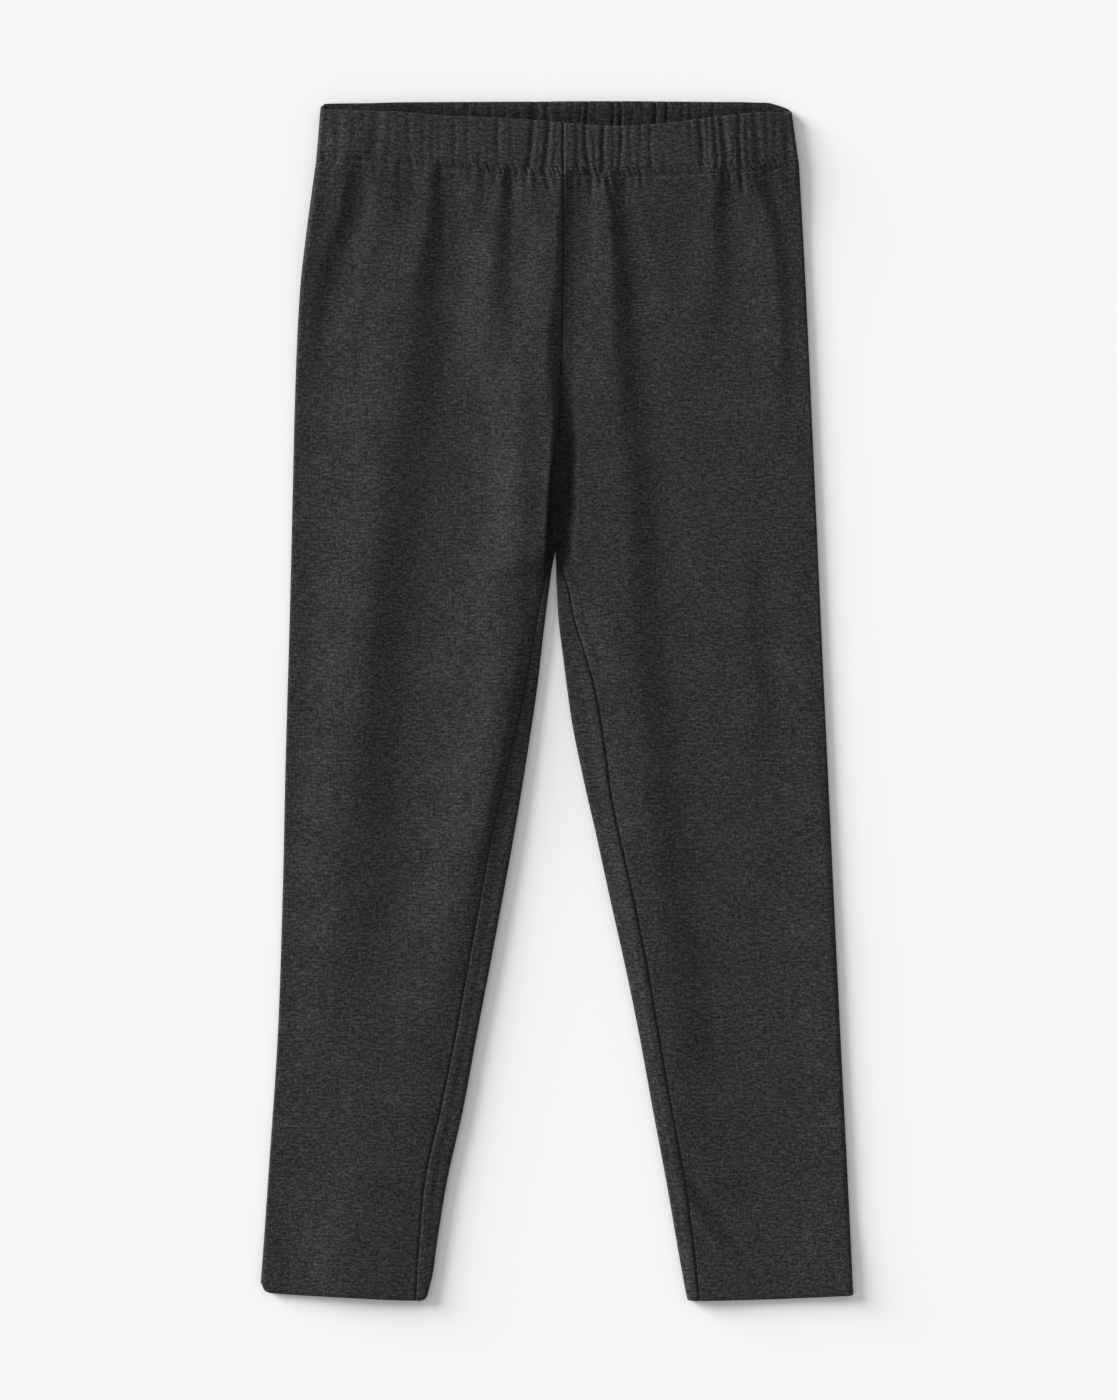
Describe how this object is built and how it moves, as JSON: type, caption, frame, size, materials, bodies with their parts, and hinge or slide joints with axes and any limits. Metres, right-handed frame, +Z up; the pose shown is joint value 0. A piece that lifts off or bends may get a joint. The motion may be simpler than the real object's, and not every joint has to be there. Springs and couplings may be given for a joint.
{
  "type": "leggings",
  "caption": "Child's plain melange jersey leggings, laid flat with the front up, with a gathered elastic waistband and turned-up hems.",
  "frame": {"origin": "bottom centre of the laid-out garment, on the surface that it lies on", "axes": "+Y from the hems to the waist, +X to the wearer's left, +Z up from the surface through the back to the front"},
  "size_m": [0.3078, 0.624, 0.0095],
  "materials": {
    "charcoal_jersey": "matte brushed melange jersey",
    "white_elastic": "matte woven elastic"
  },
  "bodies": {
    "root": {"leg_panel_right": "charcoal_jersey", "leg_panel_left": "charcoal_jersey", "waist_casing_right": "charcoal_jersey", "waist_casing_left": "charcoal_jersey", "waist_elastic": "white_elastic"}
  },
  "joints": []
}
